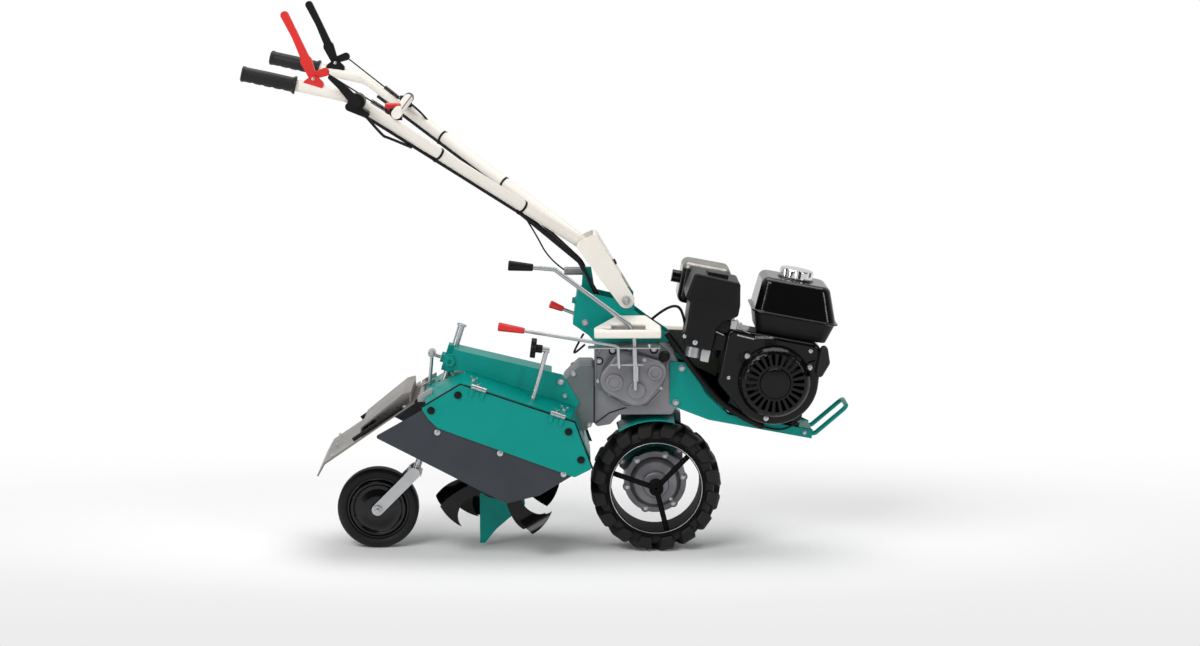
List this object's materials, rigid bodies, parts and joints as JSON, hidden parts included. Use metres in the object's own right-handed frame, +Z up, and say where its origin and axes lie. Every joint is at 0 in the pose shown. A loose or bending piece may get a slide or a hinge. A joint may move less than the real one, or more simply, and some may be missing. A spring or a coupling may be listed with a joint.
{
  "type": "walk-behind tractor",
  "caption": "Walk-behind tractor on one drive wheel, with a front petrol engine, long bent handlebars, a hooded rear rotary ridger with hinged side panels, a rear flap and a small gauge wheel.",
  "frame": {"origin": "floor point below the middle of the overall box", "axes": "+X forward, towards the engine; +Y the machine's left; +Z up"},
  "size_m": [1.3088, 0.5876, 1.2119],
  "materials": {
    "green_paint": "satin",
    "ivory_paint": "satin",
    "ivory_plastic": "satin",
    "cast_aluminium": "matte",
    "black_paint": "gloss",
    "black_gloss": "gloss",
    "black_plastic": "satin",
    "black_rubber": "matte",
    "tyre_rubber": "matte",
    "red_plastic": "gloss",
    "zinc_steel": "satin",
    "muffler_steel": "satin",
    "chrome": "gloss",
    "grey_paint": "satin",
    "grey_sheet": "satin"
  },
  "bodies": {
    "chassis": {"transmission_case": "cast_aluminium", "final_drive_covers": "cast_aluminium", "gear_cover": "cast_aluminium", "mudguards": "green_paint", "rotor_drive_case": "cast_aluminium", "skid_plate": "green_paint", "engine_frame": "green_paint", "front_loop": "green_paint", "engine_block": "cast_aluminium", "fan_shroud": "black_paint", "recoil_cover": "black_paint", "starter_grip": "black_plastic", "fuel_tank": "black_gloss", "fuel_cap": "chrome", "air_cleaner": "black_plastic", "carburettor": "zinc_steel", "muffler": "muffler_steel", "belt_cover": "ivory_plastic", "wire_conduit": "black_rubber", "handle_mount": "green_paint", "lock_arm": "green_paint", "lock_pin": "zinc_steel", "shift_guide": "ivory_paint", "lever_rods": "zinc_steel", "black_knobs": "black_plastic", "red_knobs": "red_plastic", "rotary_beam": "green_paint", "rotary_hood": "green_paint", "flap_hinge": "zinc_steel", "stay_rods": "zinc_steel"},
    "drive_wheel_set": {"drive_tyre": "tyre_rubber", "drive_wheel": "black_paint"},
    "rotor": {"rotor_shaft": "black_paint", "rotor_tines": "black_paint"},
    "gauge_post": {"gauge_stem": "zinc_steel", "gauge_fork": "zinc_steel"},
    "gauge_wheel": {"gauge_disc": "black_paint", "gauge_tyre": "black_rubber"},
    "right_panel": {"side_panel_right": "green_paint", "side_skirt_right": "grey_paint"},
    "left_panel": {"side_panel_left": "green_paint", "side_skirt_left": "grey_paint"},
    "flap": {"rear_flap": "grey_sheet", "flap_sheet": "grey_sheet"},
    "handle": {"handle_column": "ivory_paint", "handle_tubes": "ivory_paint", "grips": "black_rubber", "lever_brackets": "black_plastic", "lever_red": "red_plastic", "lever_black": "black_plastic", "throttle": "black_plastic", "cross_tube": "black_plastic", "stop_switch": "red_plastic", "control_cables": "black_rubber"}
  },
  "joints": [
    {"name": "drive_wheel_spin", "type": "hinge", "parent": "chassis", "child": "drive_wheel_set", "pos_m": [0.22545, -0.015, 0.146], "axis": [0, 1, 0], "continuous": true},
    {"name": "rotor_spin", "type": "hinge", "parent": "chassis", "child": "rotor", "pos_m": [-0.12455, 0, 0.1884], "axis": [0, 1, 0], "continuous": true},
    {"name": "gauge_height", "type": "slide", "parent": "chassis", "child": "gauge_post", "axis": [0.3035, 0, 0.9528], "range_m": [-0.04, 0.05]},
    {"name": "gauge_wheel_spin", "type": "hinge", "parent": "gauge_post", "child": "gauge_wheel", "pos_m": [-0.39755, 0, 0.091], "axis": [0, 1, 0], "continuous": true},
    {"name": "right_panel_hinge", "type": "hinge", "parent": "chassis", "child": "right_panel", "pos_m": [-0.07869, -0.155, 0.3606], "axis": [-0.946, 0, 0.3242], "range_deg": [0, 100]},
    {"name": "left_panel_hinge", "type": "hinge", "parent": "chassis", "child": "left_panel", "pos_m": [-0.07869, 0.155, 0.3606], "axis": [0.946, 0, -0.3242], "range_deg": [0, 100]},
    {"name": "flap_hinge_turn", "type": "hinge", "parent": "chassis", "child": "flap", "pos_m": [-0.29456, 0, 0.3564], "axis": [0, 1, 0], "range_deg": [0, 50]},
    {"name": "handle_height", "type": "hinge", "parent": "chassis", "child": "handle", "pos_m": [0.15845, 0, 0.5674], "axis": [0, 1, 0], "range_deg": [-12, 8]}
  ]
}
